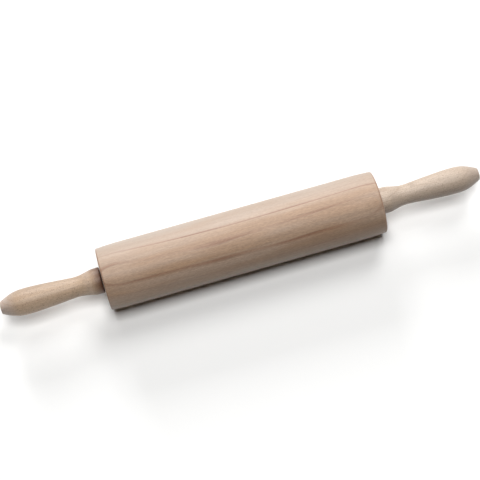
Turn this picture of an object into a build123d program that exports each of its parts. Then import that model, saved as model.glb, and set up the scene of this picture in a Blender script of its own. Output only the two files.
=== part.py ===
from build123d import *
import math
import os

# Rolling pin with a revolving barrel, in millimetres.
# X runs along the axle, Z is up, and the origin is the middle of the barrel on the axle's line.
# The left end is at negative X. Every left piece is the mirror image of its right one.

# Barrel
barrel_length = 250.0
barrel_diameter = 56.6
barrel_ease_length = 20.0
barrel_ease_depth = 0.75
barrel_edge_radius = 1.5
bearing_recess = 0.8
seat_mouth_chamfer = 0.5

# Handles, with distances measured from the face that looks at the barrel
handle_gap = 1.2
handle_length = 90.6
collar_diameter = 23.2
collar_length = 5.0
collar_edge_radius = 1.0
waist_diameter = 17.7
waist_distance = 23.6
belly_diameter = 23.1
belly_distance = 67.0
tip_diameter = 10.4
tip_angle = 28.0
tip_edge_radius = 1.2

# How far each curve of the handle's outline holds its end's direction, as a share of its own length
collar_ease_share = 0.31
waist_inner_ease_share = 0.52
waist_outer_ease_share = 0.07
belly_inner_ease_share = 0.31
belly_outer_ease_share = 0.35
tip_ease_share = 0.49

# Axle, with its threaded ends
axle_diameter = 8.0
thread_pitch = 1.25
thread_depth = 0.7
thread_flank_angle = 30.0
axle_spare_turns = 4
axle_end_length = 1.2
axle_end_chamfer = 0.7

# Threaded inserts in the handles
insert_wall = 0.94
insert_turns = 12
insert_ridge_count = 5
insert_ridge_depth = 1.0
insert_ridge_land = 0.3
insert_slot_width = 1.6
insert_slot_depth = 2.0
handle_bore_spare = 3.0

# Spacers between the bearings and the inserts
spacer_wall = 1.15
spacer_edge = 0.3

# Retaining rings in the axle's grooves
ring_thickness = 0.8
ring_beam_width = 1.3
ring_offset = 0.2
ring_lug_radius = 1.35
ring_lug_height = 3.2
ring_lug_gap = 2.4
ring_lug_hole_diameter = 1.2
groove_depth = 0.2

# Ball bearings
bearing_diameter = 22.0
bearing_edge_radius = 0.3
ball_diameter = 3.969
ball_count = 7
raceway_share = 0.52
raceway_depth = 0.55
cage_rim = 0.4355
cage_wall = 1.6
shield_thickness = 0.3
shield_inset = 0.35
shield_room = 0.35
shield_grip = 0.7
shield_lip = 0.45

# Clearances
press_clearance = 0.01
insert_clearance = 0.02
thread_clearance = 0.06
spacer_clearance = 0.1
axle_clearance = 0.3
groove_play = 0.1
ball_clearance = 0.02
pocket_clearance = 0.08
shield_clearance = 0.15
ring_clearance = 1.5
cut_overrun = 1.0

# Places along the axle, on the right side
cage_width = ball_diameter + 2 * (pocket_clearance + cage_rim)
bearing_width = cage_width + 2 * (shield_room + shield_thickness + shield_inset)
barrel_end = barrel_length / 2
handle_face = barrel_end + handle_gap
bearing_outboard = barrel_end - bearing_recess
bearing_inboard = bearing_outboard - bearing_width
bearing_middle = bearing_outboard - bearing_width / 2
ring_inboard = bearing_inboard - ring_thickness
insert_length = insert_turns * thread_pitch
insert_end = handle_face + insert_length
axle_turns = insert_turns + axle_spare_turns
axle_end = handle_face + axle_turns * thread_pitch + axle_end_length

# Radii that several pieces share
axle_radius = axle_diameter / 2
thread_root = axle_radius - thread_depth
groove_radius = axle_radius - groove_depth
ring_lug_reach = groove_radius + ring_lug_height
barrel_bore_radius = ring_lug_reach + ring_clearance
insert_root = axle_radius + thread_clearance + insert_wall
insert_crest = insert_root + insert_ridge_depth
bearing_bore_radius = axle_radius + press_clearance
bearing_radius = bearing_diameter / 2
seat_radius = bearing_radius + press_clearance
pitch_radius = (axle_radius + bearing_radius) / 2
ball_radius = ball_diameter / 2
raceway_radius = raceway_share * ball_diameter
inner_shoulder = pitch_radius - ball_radius + raceway_depth
outer_shoulder = pitch_radius + ball_radius - raceway_depth


def turned(section):
    """Solid turned about the axle from a section drawn as distance along it and radius."""
    return revolve(section, Axis.X)


def block(start, end, inner, outer):
    """Section of a ring between two distances along the axle and two radii."""
    return make_face(Polyline((start, inner), (end, inner), (end, outer), (start, outer), close=True))


def ridge_points(start, count, pitch, root, crest, land):
    """Points along a thread's ridges, drawn as rings, from the root up to the crest and back."""
    flank = (crest - root) * math.tan(math.radians(thread_flank_angle))
    points = []
    for turn in range(count):
        foot = start + turn * pitch
        points.append((foot, root))
        points.append((foot + flank, crest))
        points.append((foot + flank + land, crest))
        points.append((foot + flank + land + flank, root))
    return points


def axle_thread_points(count, clearance):
    """The axle's thread from the handle's face outwards, as far out as the clearance says."""
    flank = thread_depth * math.tan(math.radians(thread_flank_angle))
    land = thread_pitch / 2 - flank
    root = thread_root + clearance
    return ridge_points(handle_face, count, thread_pitch, root, axle_radius + clearance, land)


def insert_outer_points(clearance):
    """The insert's coarse outer thread, as far out as the clearance says."""
    crest = insert_crest + clearance
    root = insert_root + clearance
    pitch = insert_length / insert_ridge_count
    points = ridge_points(handle_face, insert_ridge_count, pitch, root, crest, insert_ridge_land)
    return points + [(insert_end, root)]


def barrel():
    """Wooden barrel, eased at both ends, bored through, with a bearing seat at each end."""
    crown = barrel_diameter / 2
    straight = barrel_end - barrel_ease_length
    edge = crown - barrel_ease_depth
    middle = Line((-straight, crown), (straight, crown))
    right_ease = TangentArc(middle @ 1, (barrel_end, edge), tangent=middle % 1)
    left_ease = TangentArc(middle @ 0, (-barrel_end, edge), tangent=-(middle % 0))
    right_face = Line((barrel_end, edge), (barrel_end, 0))
    left_face = Line((-barrel_end, edge), (-barrel_end, 0))
    centre = Line((-barrel_end, 0), (barrel_end, 0))
    body = turned(make_face([middle, right_ease, left_ease, right_face, left_face, centre]))
    rims = body.edges().filter_by(GeomType.CIRCLE).group_by(Axis.X)
    body = fillet(rims[0] + rims[-1], barrel_edge_radius)
    body -= turned(block(-barrel_end, barrel_end, 0, barrel_bore_radius))
    mouth = barrel_end - seat_mouth_chamfer
    seat_outline = Polyline(
        (bearing_inboard, 0),
        (bearing_inboard, seat_radius),
        (mouth, seat_radius),
        (barrel_end, seat_radius + seat_mouth_chamfer),
        (barrel_end, 0),
        close=True,
    )
    seat = turned(make_face(seat_outline))
    return body - seat - mirror(seat, about=Plane.YZ)


def axle():
    """Steel rod with a groove for each retaining ring and a thread at each end."""
    groove_end = ring_inboard + ring_thickness + groove_play
    right = [
        (ring_inboard, axle_radius),
        (ring_inboard, groove_radius),
        (groove_end, groove_radius),
        (groove_end, axle_radius),
        (handle_face, axle_radius),
    ]
    right += axle_thread_points(axle_turns, 0)
    right += [
        (axle_end - axle_end_chamfer, thread_root),
        (axle_end, thread_root - axle_end_chamfer),
        (axle_end, 0),
    ]
    left = [(-distance, radius) for distance, radius in reversed(right)]
    return turned(make_face(Polyline(*left, *right, close=True)))


def right_handle():
    """Turned wooden handle: collar, waist, belly and blunt end, bored for its insert and the axle."""
    collar = collar_diameter / 2
    waist = waist_diameter / 2
    belly = belly_diameter / 2
    tip = tip_diameter / 2
    collar_end = handle_face + collar_length
    waist_place = handle_face + waist_distance
    belly_place = handle_face + belly_distance
    tip_face = handle_face + handle_length
    neck_length = waist_place - collar_end
    swell_length = belly_place - waist_place
    nose_length = tip_face - belly_place
    slope = math.radians(tip_angle)
    tip_ease = tip_ease_share * nose_length
    neck = Bezier(
        (collar_end, collar),
        (collar_end + collar_ease_share * neck_length, collar),
        (waist_place - waist_inner_ease_share * neck_length, waist),
        (waist_place, waist),
    )
    swell = Bezier(
        (waist_place, waist),
        (waist_place + waist_outer_ease_share * swell_length, waist),
        (belly_place - belly_inner_ease_share * swell_length, belly),
        (belly_place, belly),
    )
    nose = Bezier(
        (belly_place, belly),
        (belly_place + belly_outer_ease_share * nose_length, belly),
        (tip_face - tip_ease * math.cos(slope), tip + tip_ease * math.sin(slope)),
        (tip_face, tip),
    )
    outline = [
        Line((handle_face, 0), (handle_face, collar)),
        Line((handle_face, collar), (collar_end, collar)),
        neck,
        swell,
        nose,
        Line((tip_face, tip), (tip_face, 0)),
        Line((tip_face, 0), (handle_face, 0)),
    ]
    body = turned(make_face(outline))
    rims = body.edges().filter_by(GeomType.CIRCLE).group_by(Axis.X)
    body = fillet(rims[0], collar_edge_radius)
    rims = body.edges().filter_by(GeomType.CIRCLE).group_by(Axis.X)
    body = fillet(rims[-1], tip_edge_radius)
    bore_end = axle_end + handle_bore_spare
    bore_radius = axle_radius + axle_clearance
    cavity = [(handle_face, 0)]
    cavity += insert_outer_points(insert_clearance)
    cavity += [(insert_end, bore_radius), (bore_end, bore_radius), (bore_end + bore_radius / 2, 0)]
    return body - turned(make_face(Polyline(*cavity, close=True)))


def right_insert_nut():
    """Slotted threaded insert: coarse ridges outside for the wood, the axle's thread inside."""
    outside = insert_outer_points(0)
    inside = axle_thread_points(insert_turns, thread_clearance)
    inside.append((insert_end, thread_root + thread_clearance))
    body = turned(make_face(Polyline(*outside, *reversed(inside), close=True)))
    slot_length = insert_slot_depth + cut_overrun
    slot_middle = handle_face + insert_slot_depth - slot_length / 2
    slot = Box(slot_length, insert_slot_width, 2 * insert_crest + cut_overrun)
    return body - Pos(slot_middle, 0, 0) * slot


def right_spacer():
    """Steel sleeve on the axle, clamped between the bearing's inner ring and the insert."""
    inner = axle_radius + spacer_clearance
    outer = inner + spacer_wall
    outline = Polyline(
        (bearing_outboard, inner),
        (handle_face, inner),
        (handle_face, outer - spacer_edge),
        (handle_face - spacer_edge, outer),
        (bearing_outboard + spacer_edge, outer),
        (bearing_outboard, outer - spacer_edge),
        close=True,
    )
    return turned(make_face(outline))


def right_retaining_ring():
    """Open spring ring with two drilled lugs, seated in the axle's groove."""
    inner = groove_radius + press_clearance
    beam = Pos(0, -ring_offset) * Circle(inner + ring_beam_width)
    lug_centre = ring_lug_reach - ring_lug_radius
    lug_side = ring_lug_gap / 2 + ring_lug_radius
    lug_height = math.sqrt(lug_centre**2 - lug_side**2)
    lug = Circle(ring_lug_radius)
    hole = Circle(ring_lug_hole_diameter / 2)
    outline = beam
    for side in (-lug_side, lug_side):
        outline += Pos(side, lug_height) * lug
    for side in (-lug_side, lug_side):
        outline -= Pos(side, lug_height) * hole
    opening = Pos(0, ring_lug_reach / 2) * Rectangle(ring_lug_gap, ring_lug_reach)
    outline = outline - Circle(inner) - opening
    plane = Plane(origin=(ring_inboard, 0, 0), x_dir=(0, 1, 0), z_dir=(1, 0, 0))
    return extrude(plane * outline, ring_thickness)


def right_outer_ring():
    """Bearing's outer ring, with its raceway and a groove for each shield."""
    groove_centre = pitch_radius + ball_radius + ball_clearance - raceway_radius
    section = block(bearing_inboard, bearing_outboard, outer_shoulder, bearing_radius)
    section = fillet(section.vertices().group_by(Axis.Y)[-1], bearing_edge_radius)
    section -= Pos(bearing_middle, groove_centre) * Circle(raceway_radius)
    lip = outer_shoulder + shield_lip
    section -= block(bearing_inboard, bearing_inboard + shield_inset, outer_shoulder, lip)
    section -= block(bearing_outboard - shield_inset, bearing_outboard, outer_shoulder, lip)
    for start in shield_starts():
        near = start - press_clearance
        far = start + shield_thickness + press_clearance
        section -= block(near, far, outer_shoulder, outer_shoulder + shield_grip)
    return turned(section)


def right_inner_ring():
    """Bearing's inner ring, with its raceway, on the axle."""
    groove_centre = pitch_radius - ball_radius - ball_clearance + raceway_radius
    section = block(bearing_inboard, bearing_outboard, bearing_bore_radius, inner_shoulder)
    section = fillet(section.vertices(), bearing_edge_radius)
    section -= Pos(bearing_middle, groove_centre) * Circle(raceway_radius)
    return turned(section)


def ball_places():
    """Centres of the right bearing's balls, evenly round the pitch circle."""
    places = []
    for number in range(ball_count):
        angle = 2 * math.pi * number / ball_count
        side = pitch_radius * math.cos(angle)
        height = pitch_radius * math.sin(angle)
        places.append(Pos(bearing_middle, side, height))
    return places


def right_cage():
    """Ring that keeps the balls apart, with a round pocket for each."""
    half = cage_width / 2
    inner = pitch_radius - cage_wall / 2
    outer = pitch_radius + cage_wall / 2
    body = turned(block(bearing_middle - half, bearing_middle + half, inner, outer))
    for place in ball_places():
        body -= place * Sphere(ball_radius + pocket_clearance)
    return body


def right_balls():
    """The right bearing's balls, each a separate solid."""
    return Compound(children=[place * Sphere(ball_radius) for place in ball_places()])


def shield_starts():
    """Where the right bearing's inboard and outboard shields start along the axle."""
    inboard = bearing_inboard + shield_inset
    outboard = bearing_outboard - shield_inset - shield_thickness
    return inboard, outboard


def shield(start):
    """Thin disc held in the outer ring's groove, clear of the inner ring."""
    inner = inner_shoulder + shield_clearance
    outer = outer_shoulder + shield_grip - press_clearance
    return turned(block(start, start + shield_thickness, inner, outer))


os.makedirs("parts", exist_ok=True)

inboard_start, outboard_start = shield_starts()
export_step(barrel(), "parts/barrel.step")
export_step(axle(), "parts/axle.step")
right_pieces = {
    "handle": right_handle(),
    "insert_nut": right_insert_nut(),
    "spacer": right_spacer(),
    "retaining_ring": right_retaining_ring(),
    "outer_ring": right_outer_ring(),
    "inner_ring": right_inner_ring(),
    "cage": right_cage(),
    "balls": right_balls(),
    "inboard_shield": shield(inboard_start),
    "outboard_shield": shield(outboard_start),
}
for name, piece in right_pieces.items():
    export_step(piece, f"parts/right_{name}.step")
    export_step(mirror(piece, about=Plane.YZ), f"parts/left_{name}.step")
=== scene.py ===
"""Looks of a rolling pin whose wooden barrel revolves on ball bearings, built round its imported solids."""

import math

import bpy
from bpy.props import FloatProperty, FloatVectorProperty, PointerProperty, StringProperty
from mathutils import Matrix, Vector


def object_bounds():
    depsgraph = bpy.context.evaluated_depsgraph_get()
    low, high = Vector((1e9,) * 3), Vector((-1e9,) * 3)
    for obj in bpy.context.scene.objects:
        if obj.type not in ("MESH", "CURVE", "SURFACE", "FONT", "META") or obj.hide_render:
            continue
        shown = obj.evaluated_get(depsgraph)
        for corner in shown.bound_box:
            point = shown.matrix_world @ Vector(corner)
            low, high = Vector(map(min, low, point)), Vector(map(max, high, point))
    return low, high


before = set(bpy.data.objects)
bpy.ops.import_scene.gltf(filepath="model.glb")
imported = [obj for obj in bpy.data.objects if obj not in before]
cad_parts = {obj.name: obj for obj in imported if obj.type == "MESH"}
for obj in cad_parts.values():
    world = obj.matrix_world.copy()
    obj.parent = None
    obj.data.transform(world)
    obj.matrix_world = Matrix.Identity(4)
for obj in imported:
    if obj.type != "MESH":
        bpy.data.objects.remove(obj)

bl_info = {
    "name": "Rolling Pin",
    "version": (1, 0, 0),
    "blender": (4, 5, 0),
    "location": "3D View > Sidebar > Rolling Pin",
    "description": "Finishes a rolling pin's wood and steel and sets it on its stage",
    "category": "Object",
}

CAD_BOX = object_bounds()
SIDES = ("left", "right")
MM = 0.001

# The pin's axis, along which the grain runs, and what is left of a place when its part along it is dropped
AXIS = (1.0, 0.0, 0.0)
ACROSS_AXIS = (0.0, 1.0, 1.0)

# Sockets of the Mix node that take and give a number
MIX_NUMBER_A = 2
MIX_NUMBER_B = 3
MIX_NUMBER = 0

# Sockets of the Mix node that take and give a colour
MIX_A = 6
MIX_B = 7
MIX_COLOUR = 2

# A noise's middle value, and the values between which most of it lies
NOISE_MIDDLE = (0.5, 0.5, 0.5)
NOISE_LOW = 0.3
NOISE_HIGH = 0.7

# Sizes of the wood's patterns in millimetres, along the grain and across it
FADE_SIZE = (90.0, 16.0)
PATCH_SIZE = (110.0, 14.0)
STRIPE_SIZE = (40.0, 0.9)

# A ring darkens slowly up to its line, which starts and peaks at these shares of the ring's width
SLOPE_POWER = 4.0
SLOPE_STRENGTH = 0.5
LINE_START = 0.72
LINE_PEAK = 0.93

# Noise values at which a line is faded most and shows in full, and the share of it that a fade leaves
FADED_AT = 0.58
UNFADED_AT = 0.35
FADED_SHARE = 0.2

# Noise values between which a warm patch turns into a pale one, and the brightness of the stripes
PATCH_LOW = 0.35
PATCH_HIGH = 0.65
DARK_STRIPE = 0.9
PALE_STRIPE = 1.09

# How far from its middle a fleck ends and is full, as shares of the flecks' spacing
FLECK_EDGE = 0.28
FLECK_CORE = 0.12

# How far a surface faces along the axis where end grain starts and is full, and how far it then covers
END_GRAIN_START = 0.12
END_GRAIN_FULL = 0.5
END_GRAIN_SHARE = 0.6

# Shine and open grain of sanded wood
WOOD_IOR = 1.5
WOOD_SHEEN = 0.15
WOOD_SHEEN_ROUGHNESS = 0.5
GRAIN_STRENGTH = 0.35
DULLNESS_SPREAD = 0.06

# A metal's soft cloudiness, in millimetres along and across, with the brightness that it runs through
CLOUD_SIZE = (9.0, 6.0)
DARK_CLOUD = 0.86
PALE_CLOUD = 1.06

# How much smoother and rougher a metal's marks are than the rest of it, and how deep they look
MARK_SMOOTHER = 0.08
MARK_ROUGHER = 0.1
MARK_STRENGTH = 0.3
MARK_DEPTH = 0.01 * MM

# Grit of the floor's paint in millimetres, its dullness, and how little it shines
GRIT_SIZE = (1.0, 1.0)
SMOOTH_PAINT = 0.82
ROUGH_PAINT = 0.92
PAINT_SHINE = 0.2

# The stage, in metres
FLOOR_SIZE = 24.0
SOFTBOX_SIZE = 1.4
SOFTBOX_DISTANCE = 4.0
NEAREST_SEEN = 0.05
FURTHEST_SEEN = 20.0

# Both handles are turned from straighter wood than the barrel, with narrower rings and coarser flecks
HANDLE_WOOD = {
    "fleck_share": 0.6,
    "fleck_length": 2.5,
    "fleck_width": 1.7,
    "fibre_share": 0.16,
    "fibre_length": 1.2,
    "ring_width": 2.4,
    "strong_ring": 0.5,
    "pith": (-30.0, -36.0),
    "lean": (0.0, 0.0),
    "bow": (0.0, 0.0),
    # Fibres and flecks show in full on both sides, and the painted shade and painted light start and end at
    # these distances from the axis
    "painted_light_figure": 1.0,
    "zone_start": 2.0,
    "zone_end": 11.0,
}
# The left handle gets painted shade on its back (+Y) side, painted light on its front (-Y) side, and painted
# shade on its collar next to the barrel, where the barrel's shadow falls
LEFT_HANDLE_WOOD = {
    **HANDLE_WOOD,
    "light": "b19b85",
    "middle": "a88e75",
    "dark": "92765e",
    "fleck": "6a5140",
    "end_grain": "afa29d",
    "painted_shade_tint": "e0dfe1",
    "painted_shade_share": 0.8,
    "painted_light_tint": "bca186",
    "painted_light_share": 0.8,
    "shade_to_light": (0.0, -0.985, -0.17),
    "collar_shade_strength": 1.0,
    "drift": 31.0,
}
# The right handle gets painted shade on its front (-Y) side and no painted light
RIGHT_HANDLE_WOOD = {
    **HANDLE_WOOD,
    "light": "b1a08f",
    "middle": "a69382",
    "dark": "927c6a",
    "fleck": "6f5a49",
    "fleck_share": 0.45,
    "end_grain": "a09187",
    "painted_shade_tint": "cfcdcb",
    "painted_shade_share": 0.9,
    "painted_light_share": 0.0,
    "shade_to_light": (0.0, 0.985, 0.17),
    "zone_start": 3.0,
    "drift": 77.0,
}


def linear(hex_colour):
    """Linear colour, with alpha, of an sRGB hex value such as d8bfa3."""
    channels = []
    for start in (0, 2, 4):
        value = int(hex_colour[start:start + 2], 16) / 255
        channels.append(value / 12.92 if value <= 0.04045 else ((value + 0.055) / 1.055) ** 2.4)
    return (*channels, 1.0)


def add(tree, kind, inputs=None, **settings):
    """Adds a node with its settings; inputs gives each socket a value, or the output that feeds it."""
    node = tree.nodes.new(kind)
    for name, value in settings.items():
        setattr(node, name, value)
    for socket, value in (inputs or {}).items():
        if isinstance(value, bpy.types.NodeSocket):
            tree.links.new(value, node.inputs[socket])
        else:
            node.inputs[socket].default_value = value
    return node


def new_material(name):
    """An empty node material, with its tree."""
    material = bpy.data.materials.new(name)
    material.use_nodes = True
    material.node_tree.nodes.clear()
    return material, material.node_tree


def place_in_mm(tree):
    """Where a point of the surface lies on the piece, in millimetres."""
    coordinate = add(tree, "ShaderNodeTexCoord")
    scaled = add(tree, "ShaderNodeVectorMath", {0: coordinate.outputs["Object"], "Scale": 1 / MM},
                 operation="SCALE")
    return scaled.outputs["Vector"]


def stretched(tree, place, along, across):
    """The place divided by a length along the grain and one across it, for a streaky pattern."""
    sizes = (1 / along, 1 / across, 1 / across)
    return add(tree, "ShaderNodeVectorMath", {0: place, 1: sizes}, operation="MULTIPLY").outputs["Vector"]


def streaks(tree, place, along, across, shift=0.0, detail=2.0, roughness=0.5):
    """Noise whose streaks have a length along the grain and one across it, in millimetres. The shift, in
    millimetres too, picks another part of the same noise."""
    moved = add(tree, "ShaderNodeVectorMath", {0: place, 1: (0.0, 0.0, shift)}, operation="ADD")
    return add(tree, "ShaderNodeTexNoise",
               {"Vector": stretched(tree, moved.outputs["Vector"], along, across), "Scale": 1.0,
                "Detail": detail, "Roughness": roughness})


def growth_rings(tree, place, look):
    """Growth rings round a pith that leans and bows: the place within a ring from 0 to 1, and its number."""
    along = add(tree, "ShaderNodeVectorMath", {0: place, 1: AXIS}, operation="DOT_PRODUCT")
    part = add(tree, "ShaderNodeMath", {0: along.outputs["Value"], 1: look.grain_reach}, operation="DIVIDE")
    bend = add(tree, "ShaderNodeVectorMath",
               {0: (0.0, *look.bow), 1: part.outputs["Value"], 2: (0.0, *look.lean)},
               operation="MULTIPLY_ADD")
    pith = add(tree, "ShaderNodeVectorMath",
               {0: bend.outputs["Vector"], 1: part.outputs["Value"], 2: (0.0, *look.pith)},
               operation="MULTIPLY_ADD")
    from_pith = add(tree, "ShaderNodeVectorMath", {0: place, 1: pith.outputs["Vector"]},
                    operation="SUBTRACT")
    slow = streaks(tree, place, look.wander_length, look.wander_width, shift=look.drift, roughness=0.4)
    centred = add(tree, "ShaderNodeVectorMath", {0: slow.outputs["Color"], 1: NOISE_MIDDLE},
                  operation="SUBTRACT")
    wander = add(tree, "ShaderNodeVectorMath", {0: centred.outputs["Vector"], "Scale": look.wander},
                 operation="SCALE")
    moved = add(tree, "ShaderNodeVectorMath", {0: from_pith.outputs["Vector"], 1: wander.outputs["Vector"]},
                operation="ADD")
    square_on = add(tree, "ShaderNodeVectorMath", {0: moved.outputs["Vector"], 1: ACROSS_AXIS},
                    operation="MULTIPLY")
    distance = add(tree, "ShaderNodeVectorMath", {0: square_on.outputs["Vector"]}, operation="LENGTH")
    grown = add(tree, "ShaderNodeMath", {0: distance.outputs["Value"], 1: look.first_ring},
                operation="SUBTRACT")
    rings = add(tree, "ShaderNodeMath", {0: grown.outputs["Value"], 1: look.ring_width},
                operation="DIVIDE")
    within = add(tree, "ShaderNodeMath", {0: rings.outputs["Value"]}, operation="FRACT")
    number = add(tree, "ShaderNodeMath", {0: rings.outputs["Value"]}, operation="FLOOR")
    return within.outputs["Value"], number.outputs["Value"]


def ring_lines(tree, place, within, number, look):
    """How dark the line that closes each ring is, and how far the ring has darkened before it. The lines are
    strong in a few rings and faint in most, and they come and go along the grain."""
    season = add(tree, "ShaderNodeMath", {0: number, 1: look.seasons}, operation="ADD")
    luck = add(tree, "ShaderNodeTexWhiteNoise", {"W": season.outputs["Value"]}, noise_dimensions="1D")
    strength = add(tree, "ShaderNodeMapRange",
                   {"Value": luck.outputs["Value"], "To Min": look.faint_ring, "To Max": look.strong_ring})
    ramp = add(tree, "ShaderNodeMath", {0: within, 1: SLOPE_POWER}, operation="POWER")
    slope = add(tree, "ShaderNodeMath", {0: ramp.outputs["Value"], 1: SLOPE_STRENGTH}, operation="MULTIPLY")
    rise = add(tree, "ShaderNodeMapRange", {"Value": within, "From Min": LINE_START, "From Max": LINE_PEAK},
               interpolation_type="SMOOTHSTEP")
    fall = add(tree, "ShaderNodeMapRange", {"Value": within, "From Min": 1.0, "From Max": LINE_PEAK},
               interpolation_type="SMOOTHSTEP")
    line = add(tree, "ShaderNodeMath", {0: rise.outputs["Result"], 1: slope.outputs["Value"]},
               operation="MAXIMUM")
    soft_line = add(tree, "ShaderNodeMath", {0: line.outputs["Value"], 1: fall.outputs["Result"]},
                    operation="MULTIPLY")
    closed = add(tree, "ShaderNodeMath",
                 {0: soft_line.outputs["Value"], 1: strength.outputs["Result"]}, operation="MULTIPLY")
    fades = streaks(tree, place, *FADE_SIZE, shift=look.fading, detail=1.0, roughness=0.4)
    fades = add(tree, "ShaderNodeSeparateXYZ", {"Vector": fades.outputs["Color"]})
    fade = add(tree, "ShaderNodeMapRange",
               {"Value": fades.outputs["X"], "From Min": FADED_AT, "From Max": UNFADED_AT,
                "To Min": FADED_SHARE})
    ring_line = add(tree, "ShaderNodeMath", {0: closed.outputs["Value"], 1: fade.outputs["Result"]},
                    operation="MULTIPLY")
    return ring_line.outputs["Value"], slope.outputs["Value"]


def plain_wood(tree, place, number, across, look):
    """Colour of the wood between the lines, which changes with the years and in broad soft patches. One side
    of the piece gets painted shade, drawn as browner wood, and the other painted light, drawn as paler wood
    on the left handle and greyer wood on the barrel."""
    patches = streaks(tree, place, *PATCH_SIZE, shift=look.patching)
    patches = add(tree, "ShaderNodeSeparateXYZ", {"Vector": patches.outputs["Color"]})
    patch = add(tree, "ShaderNodeMapRange",
                {"Value": patches.outputs["Z"], "From Min": PATCH_LOW, "From Max": PATCH_HIGH},
                interpolation_type="SMOOTHSTEP")
    year = add(tree, "ShaderNodeMath", {0: number, 1: look.tints}, operation="ADD")
    tint = add(tree, "ShaderNodeTexWhiteNoise", {"W": year.outputs["Value"]}, noise_dimensions="1D")
    paleness = add(tree, "ShaderNodeMix",
                   {"Factor": look.ring_tint_share, MIX_NUMBER_A: patch.outputs["Result"],
                    MIX_NUMBER_B: tint.outputs["Value"]})
    body = add(tree, "ShaderNodeMix",
               {"Factor": paleness.outputs[MIX_NUMBER], MIX_A: linear(look.middle),
                MIX_B: linear(look.light)},
               data_type="RGBA")
    # Painted shade darkens one side across the axis, and painted light pales or greys the other
    for colour, blend, way, share in ((look.painted_shade_tint, "MULTIPLY", -1, look.painted_shade_share),
                                      (look.painted_light_tint, "MIX", 1, look.painted_light_share)):
        zone = add(tree, "ShaderNodeMapRange",
                   {"Value": across, "From Min": way * look.zone_start, "From Max": way * look.zone_end,
                    "To Max": share})
        body = add(tree, "ShaderNodeMix",
                   {"Factor": zone.outputs["Result"], MIX_A: body.outputs[MIX_COLOUR],
                    MIX_B: linear(colour)},
                   data_type="RGBA", blend_type=blend)
    return body.outputs[MIX_COLOUR]


def fibre_tone(tree, place, fibres, figure, look):
    """Brightness of the fine long stripes and short fibres, where the figure shows them."""
    stripes = streaks(tree, place, *STRIPE_SIZE)
    stripe = add(tree, "ShaderNodeMapRange",
                 {"Value": stripes.outputs["Fac"], "From Min": NOISE_LOW, "From Max": NOISE_HIGH,
                  "To Min": DARK_STRIPE, "To Max": PALE_STRIPE})
    fibre = add(tree, "ShaderNodeMapRange",
                {"Value": fibres, "From Min": NOISE_LOW, "From Max": NOISE_HIGH,
                 "To Min": 1.0 - look.fibre_share, "To Max": 1.0 + look.fibre_share})
    both = add(tree, "ShaderNodeMath", {0: stripe.outputs["Result"], 1: fibre.outputs["Result"]},
               operation="MULTIPLY")
    tone = add(tree, "ShaderNodeMix",
               {"Factor": figure, MIX_NUMBER_A: 1.0, MIX_NUMBER_B: both.outputs["Value"]})
    return tone.outputs[MIX_NUMBER]


def ray_flecks(tree, place, look):
    """How far the tiny dark flecks cover the wood."""
    cells = add(tree, "ShaderNodeTexVoronoi",
                {"Vector": stretched(tree, place, look.fleck_length, look.fleck_width), "Scale": 1.0},
                feature="F1")
    fleck = add(tree, "ShaderNodeMapRange",
                {"Value": cells.outputs["Distance"], "From Min": FLECK_EDGE, "From Max": FLECK_CORE,
                 "To Max": look.fleck_share},
                interpolation_type="SMOOTHSTEP")
    return fleck.outputs["Result"]


def cut_ends(tree, colour, slope, look):
    """Where the surface cuts across the grain it shows the rings as arcs and soaks up more of the finish."""
    arcs = add(tree, "ShaderNodeMix",
               {"Factor": slope, MIX_A: linear(look.end_grain), MIX_B: linear(look.dark)},
               data_type="RGBA")
    facing = add(tree, "ShaderNodeTexCoord")
    facing = add(tree, "ShaderNodeSeparateXYZ", {"Vector": facing.outputs["Normal"]})
    facing = add(tree, "ShaderNodeMath", {0: facing.outputs["X"]}, operation="ABSOLUTE")
    end_grain = add(tree, "ShaderNodeMapRange",
                    {"Value": facing.outputs["Value"], "From Min": END_GRAIN_START,
                     "From Max": END_GRAIN_FULL, "To Max": END_GRAIN_SHARE},
                    interpolation_type="SMOOTHSTEP")
    ended = add(tree, "ShaderNodeMix",
                {"Factor": end_grain.outputs["Result"], MIX_A: colour, MIX_B: arcs.outputs[MIX_COLOUR]},
                data_type="RGBA")
    return ended.outputs[MIX_COLOUR]


def shade_painted(tree, place, colour, look):
    """Painted shade: a handle's collar is darkened to brown next to the barrel, where the barrel's shadow
    falls on it.
    """
    inward = add(tree, "ShaderNodeVectorMath", {0: place, 1: AXIS}, operation="DOT_PRODUCT")
    inward = add(tree, "ShaderNodeMath", {0: inward.outputs["Value"]}, operation="ABSOLUTE")
    collar_shade = add(tree, "ShaderNodeMapRange",
                 {"Value": inward.outputs["Value"], "From Min": look.collar_shade_place + look.collar_shade_reach,
                  "From Max": look.collar_shade_place, "To Max": look.collar_shade_strength})
    collar_shade = add(tree, "ShaderNodeMix",
                 {"Factor": collar_shade.outputs["Result"], MIX_A: colour, MIX_B: linear(look.collar_shade)},
                 data_type="RGBA")
    return collar_shade.outputs[MIX_COLOUR]


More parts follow.
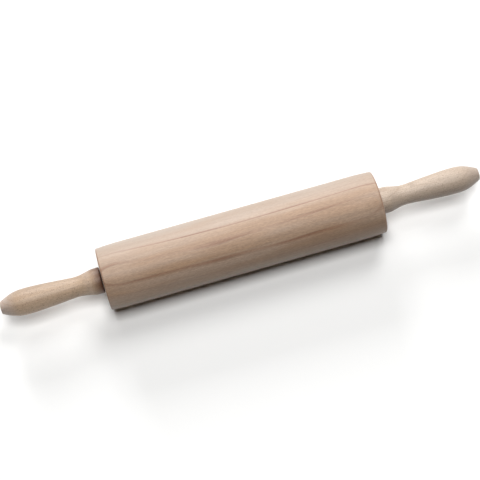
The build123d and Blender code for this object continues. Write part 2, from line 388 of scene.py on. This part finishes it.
def beech(name, look):
    """Beech, turned and sanded: tan wood whose growth rings each darken slowly into a soft brown line,
    long and shallow because the lathe cuts them lengthwise, with fine fibre streaks and tiny dark ray
    flecks. It looks matte and warm, paler at a glancing angle and darker on the end grain. Real fibres are
    finer than half a millimetre, and are drawn as coarse as that so that they show."""
    material, tree = new_material(name)
    place = place_in_mm(tree)
    within, number = growth_rings(tree, place, look)
    ring_line, slope = ring_lines(tree, place, within, number, look)

    # Fibres and flecks show in full on the painted-shade side, and weaken towards the painted-light side,
    # where they are washed out as in a highlight
    across = add(tree, "ShaderNodeVectorMath", {0: place, 1: look.shade_to_light}, operation="DOT_PRODUCT")
    across = across.outputs["Value"]
    figure = add(tree, "ShaderNodeMapRange",
                 {"Value": across, "From Max": look.zone_end, "To Min": 1.0, "To Max": look.painted_light_figure})
    figure = figure.outputs["Result"]

    lined = add(tree, "ShaderNodeMix",
                {"Factor": ring_line, MIX_A: plain_wood(tree, place, number, across, look),
                 MIX_B: linear(look.dark)},
                data_type="RGBA")
    fibres = streaks(tree, place, look.fibre_length, look.fibre_width, detail=1.0).outputs["Fac"]
    shaded = add(tree, "ShaderNodeVectorMath",
                 {0: lined.outputs[MIX_COLOUR], "Scale": fibre_tone(tree, place, fibres, figure, look)},
                 operation="SCALE")
    fleck = ray_flecks(tree, place, look)
    flecking = add(tree, "ShaderNodeMath", {0: fleck, 1: figure}, operation="MULTIPLY")
    flecked = add(tree, "ShaderNodeMix",
                  {"Factor": flecking.outputs["Value"], MIX_A: shaded.outputs["Vector"],
                   MIX_B: linear(look.fleck)},
                  data_type="RGBA")
    ended = cut_ends(tree, flecked.outputs[MIX_COLOUR], slope, look)

    relief = add(tree, "ShaderNodeMath", {0: fibres, 1: fleck}, operation="SUBTRACT")
    bump = add(tree, "ShaderNodeBump",
               {"Height": relief.outputs["Value"], "Strength": GRAIN_STRENGTH, "Distance": look.relief})
    dullness = add(tree, "ShaderNodeMapRange",
                   {"Value": fibres, "To Min": look.roughness + DULLNESS_SPREAD,
                    "To Max": look.roughness - DULLNESS_SPREAD})
    # The base colour includes the painted shade on a handle's collar next to the barrel
    shader = add(tree, "ShaderNodeBsdfPrincipled",
                 {"Base Color": shade_painted(tree, place, ended, look), "Roughness": dullness.outputs["Result"],
                  "Normal": bump.outputs["Normal"], "IOR": WOOD_IOR, "Sheen Weight": WOOD_SHEEN,
                  "Sheen Roughness": WOOD_SHEEN_ROUGHNESS})
    add(tree, "ShaderNodeOutputMaterial", {"Surface": shader.outputs["BSDF"]})
    return material


def metal(name, colour, roughness, along, across):
    """Bare steel or brass with the fine marks that its making leaves: rings from a lathe, lines along a
    drawn rod, or the soft blots of a pressed or treated sheet. It reads as metal with a soft streaky shine.
    The marks' lengths along the axis and across it are in millimetres."""
    material, tree = new_material(name)
    place = place_in_mm(tree)
    marks = streaks(tree, place, along, across).outputs["Fac"]
    cloud = streaks(tree, place, *CLOUD_SIZE)
    tone = add(tree, "ShaderNodeMapRange",
               {"Value": cloud.outputs["Fac"], "To Min": DARK_CLOUD, "To Max": PALE_CLOUD})
    tinted = add(tree, "ShaderNodeVectorMath", {0: linear(colour)[:3], "Scale": tone.outputs["Result"]},
                 operation="SCALE")
    rough = add(tree, "ShaderNodeMapRange",
                {"Value": marks, "To Min": roughness - MARK_SMOOTHER, "To Max": roughness + MARK_ROUGHER})
    bump = add(tree, "ShaderNodeBump", {"Height": marks, "Strength": MARK_STRENGTH, "Distance": MARK_DEPTH})
    shader = add(tree, "ShaderNodeBsdfPrincipled",
                 {"Base Color": tinted.outputs["Vector"], "Roughness": rough.outputs["Result"],
                  "Normal": bump.outputs["Normal"], "Metallic": 1.0})
    add(tree, "ShaderNodeOutputMaterial", {"Surface": shader.outputs["BSDF"]})
    return material


def painted_board(colour):
    """A board rolled with matt paint, whose fine grit keeps it dull. It looks pale, flat and even."""
    material, tree = new_material("painted_board")
    grit = streaks(tree, place_in_mm(tree), *GRIT_SIZE)
    rough = add(tree, "ShaderNodeMapRange",
                {"Value": grit.outputs["Fac"], "To Min": SMOOTH_PAINT, "To Max": ROUGH_PAINT})
    shader = add(tree, "ShaderNodeBsdfPrincipled",
                 {"Base Color": linear(colour), "Roughness": rough.outputs["Result"],
                  "Specular IOR Level": PAINT_SHINE})
    add(tree, "ShaderNodeOutputMaterial", {"Surface": shader.outputs["BSDF"]})
    return material


def dress(names, material):
    """Gives CAD nodes a finish in their own material slots."""
    for name in names:
        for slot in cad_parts[name].material_slots:
            slot.material = material


class WoodLook(bpy.types.PropertyGroup):
    light: StringProperty(
        name="Light", description="Wood of the paler years, as an sRGB hex value", default="a89687")
    middle: StringProperty(
        name="Middle", description="Wood of the warmer years", default="9f8065")
    dark: StringProperty(
        name="Ring line", description="Lines that close the rings", default="7b5239")
    fleck: StringProperty(
        name="Fleck", description="Tiny ray flecks", default="7a5a44")
    end_grain: StringProperty(
        name="End grain", description="Wood cut across the grain", default="90705a")
    fleck_share: FloatProperty(
        name="Fleck strength", description="How far a fleck covers the wood", default=0.35)
    fleck_length: FloatProperty(
        name="Fleck spacing", description="Along the grain, in millimetres", default=3.6)
    fleck_width: FloatProperty(
        name="Fleck gap", description="Across the grain, in millimetres", default=0.8)
    fibre_share: FloatProperty(
        name="Fibre strength", description="How far fibres differ in tone", default=0.15)
    fibre_length: FloatProperty(
        name="Fibre length", description="In millimetres", default=3.0)
    fibre_width: FloatProperty(
        name="Fibre width", description="In millimetres", default=0.5)
    roughness: FloatProperty(
        name="Roughness", description="Dullness of the sanded wood", default=0.52)
    relief: FloatProperty(
        name="Relief", description="Depth of the open grain", default=0.05 * MM, subtype="DISTANCE",
        unit="LENGTH")
    pith: FloatVectorProperty(
        name="Pith", description="Where the tree's pith ran, in millimetres from the axis", size=2,
        default=(10.6, -32.3))
    lean: FloatVectorProperty(
        name="Lean", description="How far the pith leans by the end, in millimetres", size=2,
        default=(1.8, 0.3))
    bow: FloatVectorProperty(
        name="Bow", description="How far the pith bows by the end, in millimetres", size=2,
        default=(-5.2, -1.3))
    grain_reach: FloatProperty(
        name="Reach", description="From the middle to that end, in millimetres", default=125.0)
    ring_width: FloatProperty(
        name="Ring width", description="Growth of one year, in millimetres", default=3.2)
    first_ring: FloatProperty(
        name="First ring", description="Where the rings are counted from, in millimetres", default=-8.55)
    faint_ring: FloatProperty(
        name="Faint rings", description="Strength of the faintest ring's line", default=0.1)
    strong_ring: FloatProperty(
        name="Strong rings", description="Strength of the strongest ring's line", default=0.78)
    seasons: FloatProperty(
        name="Seasons", description="Picks which years left a strong line", default=1730.0)
    tints: FloatProperty(
        name="Tints", description="Picks which years grew paler wood", default=3566.0)
    ring_tint_share: FloatProperty(
        name="Ring tint", description="How far the years, not the patches, set the tone", default=0.55)
    patching: FloatProperty(
        name="Patches", description="Picks where the broad patches lie, in millimetres", default=750.0)
    fading: FloatProperty(
        name="Fading", description="Picks where the lines fade, in millimetres", default=135.0)
    wander: FloatProperty(
        name="Wander", description="How far the rings wander, in millimetres", default=1.5)
    wander_length: FloatProperty(
        name="Wander length", description="Along the grain, in millimetres", default=120.0)
    wander_width: FloatProperty(
        name="Wander width", description="Across the grain, in millimetres", default=24.0)
    # Painted shade and painted light: one side of the piece is darkened, drawn as browner wood, and the
    # other paled or greyed, standing in for how the light and its sheen fall across it. By default the
    # barrel's front (-Y) side is shaded and its back, towards the lights, is greyed like a sheen
    painted_shade_tint: StringProperty(
        name="Painted shade", description="Tint that browns one side of the blank", default="d1c9bc")
    painted_shade_share: FloatProperty(
        name="Heartwood share", description="How far the brown side is tinted", default=1.0)
    painted_light_tint: StringProperty(
        name="Painted light", description="Wood of the blank's pale side", default="9c9085")
    painted_light_share: FloatProperty(
        name="Sapwood share", description="How far the pale side is covered", default=0.45)
    painted_light_figure: FloatProperty(
        name="Sapwood figure", description="How far fibres and flecks show on the pale side", default=0.3)
    shade_to_light: FloatVectorProperty(
        name="Sapward", description="Direction from the brown side to the pale side",
        default=(-0.03, 0.985, 0.17))
    zone_start: FloatProperty(
        name="Zone start", description="Where both sides begin, in millimetres from the axis", default=13.5)
    zone_end: FloatProperty(
        name="Zone end", description="Where both sides are full, in millimetres from the axis", default=27.0)
    # Painted shade on a handle's collar, darkest at its face next to the barrel, where the barrel's shadow
    # falls: its colour, strength, the face's place and how far it reaches
    collar_shade: StringProperty(
        name="Rubbed", description="Wood burnished at the collar", default="573218")
    collar_shade_strength: FloatProperty(
        name="Rub", description="How far the collar is burnished", default=0.0)
    collar_shade_place: FloatProperty(
        name="Rub place", description="The collar's face, in millimetres along the axis", default=127.0)
    collar_shade_reach: FloatProperty(
        name="Rub reach", description="How far the burnish reaches, in millimetres", default=9.3)
    drift: FloatProperty(
        name="Drift", description="Picks another piece of the same wood, in millimetres", default=279.0)


class StageLook(bpy.types.PropertyGroup):
    azimuth: FloatProperty(
        name="Azimuth", description="Where the camera stands round the pin", default=math.radians(-16.0),
        subtype="ANGLE")
    elevation: FloatProperty(
        name="Elevation", description="How steeply the camera looks down", default=math.radians(79.5),
        subtype="ANGLE")
    distance: FloatProperty(
        name="Distance", description="From the camera to the pin", default=1.3979, subtype="DISTANCE",
        unit="LENGTH")
    lens: FloatProperty(
        name="Lens", description="Focal length on a sensor 36 mm wide", default=120.0)
    aim_right: FloatProperty(
        name="Aim right", description="How far right of the pin's middle the camera looks",
        default=-1.25 * MM, subtype="DISTANCE", unit="LENGTH")
    aim_up: FloatProperty(
        name="Aim up", description="How far above the pin's middle the camera looks", default=0.4 * MM,
        subtype="DISTANCE", unit="LENGTH")
    floor_colour: StringProperty(
        name="Floor", description="Pale painted board", default="f4f4f3")
    key_power: FloatProperty(
        name="Key", description="Power of the main softbox", default=71.0, unit="POWER")
    top_power: FloatProperty(
        name="Top", description="Power of the softbox above", default=109.0, unit="POWER")
    back_power: FloatProperty(
        name="Back", description="Power of the low softbox behind", default=131.0, unit="POWER")


class PIN_OT_barrel(bpy.types.Operator):
    """Finishes the barrel as turned and sanded beech"""
    bl_idname = "pin.barrel"
    bl_label = "Barrel"

    def execute(self, context):
        dress(["barrel"], beech("barrel_beech", context.scene.barrel_wood))
        return {"FINISHED"}


class PIN_OT_handles(bpy.types.Operator):
    """Finishes the two handles as paler turned beech, each from its own stick"""
    bl_idname = "pin.handles"
    bl_label = "Handles"

    def execute(self, context):
        dress(["left_handle"], beech("left_handle_beech", context.scene.left_handle_wood))
        dress(["right_handle"], beech("right_handle_beech", context.scene.right_handle_wood))
        return {"FINISHED"}


class PIN_OT_axle(bpy.types.Operator):
    """Finishes the axle, spacers, retaining rings and inserts"""
    bl_idname = "pin.axle"
    bl_label = "Axle and fastenings"

    def execute(self, context):
        # Drawn through a die: bright grey, with fine lines along the rod
        rod = metal("drawn_steel", "c2c0bc", roughness=0.3, along=40.0, across=0.5)
        dress(["axle"], rod)
        # Nearly black, so that the gap beside the barrel reads dark: the colour paints in the shade of that
        # narrow gap
        sleeve = metal("dark_gap_steel", "2c2a2b", roughness=0.5, along=0.12, across=6.0)
        dress([f"{side}_spacer" for side in SIDES], sleeve)
        # Stamped and phosphated: dull dark grey, with marks that run no special way
        spring = metal("phosphated_spring_steel", "4b4a4c", roughness=0.5, along=1.0, across=1.0)
        dress([f"{side}_retaining_ring" for side in SIDES], spring)
        # Turned brass: warm yellow, with fine rings from the lathe
        brass = metal("turned_brass", "d8b56a", roughness=0.32, along=0.2, across=6.0)
        dress([f"{side}_insert_nut" for side in SIDES], brass)
        return {"FINISHED"}


class PIN_OT_bearings(bpy.types.Operator):
    """Finishes the rings, balls, cages and shields of both bearings"""
    bl_idname = "pin.bearings"
    bl_label = "Ball bearings"

    def execute(self, context):
        # Ground and polished: close to a mirror, with the faintest rings
        ground = metal("ground_bearing_steel", "cfcfd1", roughness=0.14, along=0.08, across=5.0)
        pieces = ("outer_ring", "inner_ring", "balls")
        dress([f"{side}_{piece}" for side in SIDES for piece in pieces], ground)
        # Pressed from bright sheet: a little duller, with soft blots
        pressed = metal("pressed_steel", "b9b9bc", roughness=0.36, along=1.5, across=1.5)
        pieces = ("cage", "inboard_shield", "outboard_shield")
        dress([f"{side}_{piece}" for side in SIDES for piece in pieces], pressed)
        return {"FINISHED"}


def softbox(name, turn, height, power):
    """A large square softbox that stands well away and faces the pin's middle. Turn is in degrees from the
    pin's far side towards its right end, and height is in degrees above the floor."""
    turn, height = math.radians(turn), math.radians(height)
    way = Vector((math.sin(turn) * math.cos(height), math.cos(turn) * math.cos(height), math.sin(height)))
    light = bpy.data.lights.new(name, "AREA")
    light.size = SOFTBOX_SIZE
    light.energy = power
    lamp = bpy.data.objects.new(name, light)
    lamp.location = way * SOFTBOX_DISTANCE
    lamp.rotation_euler = (-way).to_track_quat("-Z", "Y").to_euler()
    bpy.context.scene.collection.objects.link(lamp)


def lay_floor(colour):
    """A painted board under the pin, with its place in its mesh."""
    bpy.ops.object.select_all(action="DESELECT")
    lowest = CAD_BOX[0][2]
    bpy.ops.mesh.primitive_plane_add(size=FLOOR_SIZE, location=(0, 0, lowest))
    floor = bpy.context.object
    floor.name = "floor"
    bpy.ops.object.transform_apply(location=True, rotation=True, scale=True)
    floor.data.materials.append(painted_board(colour))


def place_camera(stage):
    """A long lens that looks down on the pin from its left, aimed a little off its middle."""
    back = Vector((math.sin(stage.azimuth) * math.cos(stage.elevation),
                   -math.cos(stage.azimuth) * math.cos(stage.elevation),
                   math.sin(stage.elevation)))
    right = Vector((math.cos(stage.azimuth), math.sin(stage.azimuth), 0))
    up = back.cross(right)
    aim = right * stage.aim_right + up * stage.aim_up
    lens = bpy.data.cameras.new("camera")
    lens.lens = stage.lens
    lens.clip_start = NEAREST_SEEN
    lens.clip_end = FURTHEST_SEEN
    camera = bpy.data.objects.new("camera", lens)
    camera.location = aim + back * stage.distance
    camera.rotation_euler = (-back).to_track_quat("-Z", "Y").to_euler()
    bpy.context.scene.collection.objects.link(camera)
    bpy.context.scene.camera = camera


class PIN_OT_stage(bpy.types.Operator):
    """Sets the floor, the soft studio light and the camera"""
    bl_idname = "pin.stage"
    bl_label = "Stage"

    def execute(self, context):
        stage = context.scene.pin_stage
        lay_floor(stage.floor_colour)
        softbox("key_light", turn=30, height=50, power=stage.key_power)
        softbox("top_light", turn=0, height=85, power=stage.top_power)
        softbox("back_light", turn=0, height=22, power=stage.back_power)
        context.scene.view_settings.view_transform = "Standard"
        place_camera(stage)
        return {"FINISHED"}


class PIN_PT_panel(bpy.types.Panel):
    """Lists the pin's steps"""
    bl_idname = "PIN_PT_panel"
    bl_label = "Rolling Pin"
    bl_space_type = "VIEW_3D"
    bl_region_type = "UI"
    bl_category = "Rolling Pin"

    def draw(self, context):
        for step in STEPS:
            self.layout.operator(step.bl_idname)


STEPS = (PIN_OT_barrel, PIN_OT_handles, PIN_OT_axle, PIN_OT_bearings, PIN_OT_stage)
CLASSES = (WoodLook, StageLook, *STEPS, PIN_PT_panel)


def register():
    for cls in CLASSES:
        bpy.utils.register_class(cls)
    bpy.types.Scene.barrel_wood = PointerProperty(type=WoodLook)
    bpy.types.Scene.left_handle_wood = PointerProperty(type=WoodLook)
    bpy.types.Scene.right_handle_wood = PointerProperty(type=WoodLook)
    bpy.types.Scene.pin_stage = PointerProperty(type=StageLook)


def unregister():
    del bpy.types.Scene.barrel_wood
    del bpy.types.Scene.left_handle_wood
    del bpy.types.Scene.right_handle_wood
    del bpy.types.Scene.pin_stage
    for cls in reversed(CLASSES):
        bpy.utils.unregister_class(cls)


def main():
    register()
    scene = bpy.context.scene
    for wood, values in ((scene.left_handle_wood, LEFT_HANDLE_WOOD),
                         (scene.right_handle_wood, RIGHT_HANDLE_WOOD)):
        for name, value in values.items():
            setattr(wood, name, value)
    for step in STEPS:
        group, name = step.bl_idname.split(".")
        getattr(getattr(bpy.ops, group), name)()


if __name__ == "__main__":
    main()
